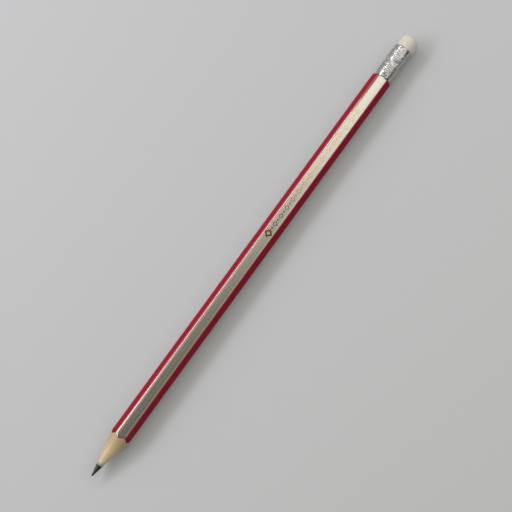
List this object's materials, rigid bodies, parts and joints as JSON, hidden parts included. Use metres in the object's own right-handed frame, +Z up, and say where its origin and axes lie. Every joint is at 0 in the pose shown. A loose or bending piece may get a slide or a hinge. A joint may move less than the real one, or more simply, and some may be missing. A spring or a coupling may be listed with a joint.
{
  "type": "pencil with eraser",
  "caption": "Hexagonal wood-cased pencil with a sharpened graphite point, red and silver lacquer stripes, and an eraser held in a ringed, crimped metal ferrule.",
  "frame": {"origin": "on the table, under the middle of the pencil's length, at the centre of the flat that it lies on", "axes": "+X along the pencil from the point to the eraser, +Y to the left as seen from the point, +Z up"},
  "size_m": [0.19, 0.0076, 0.0072],
  "materials": {
    "graphite": "dull metallic sheen",
    "wood": "bare sharpened basswood",
    "red_lacquer": "gloss lacquer",
    "silver_lacquer": "satin metallic lacquer",
    "ferrule": "bright drawn",
    "eraser": "matt vinyl"
  },
  "bodies": {
    "root": {"graphite_core": "graphite", "upper_slat": "wood", "lower_slat": "wood", "red_stripe_left": "red_lacquer", "red_stripe_right": "red_lacquer", "red_stripe_bottom": "red_lacquer", "silver_stripe_top": "silver_lacquer", "silver_stripe_lower_left": "silver_lacquer", "silver_stripe_lower_right": "silver_lacquer", "ferrule": "ferrule", "eraser": "eraser"}
  },
  "joints": []
}
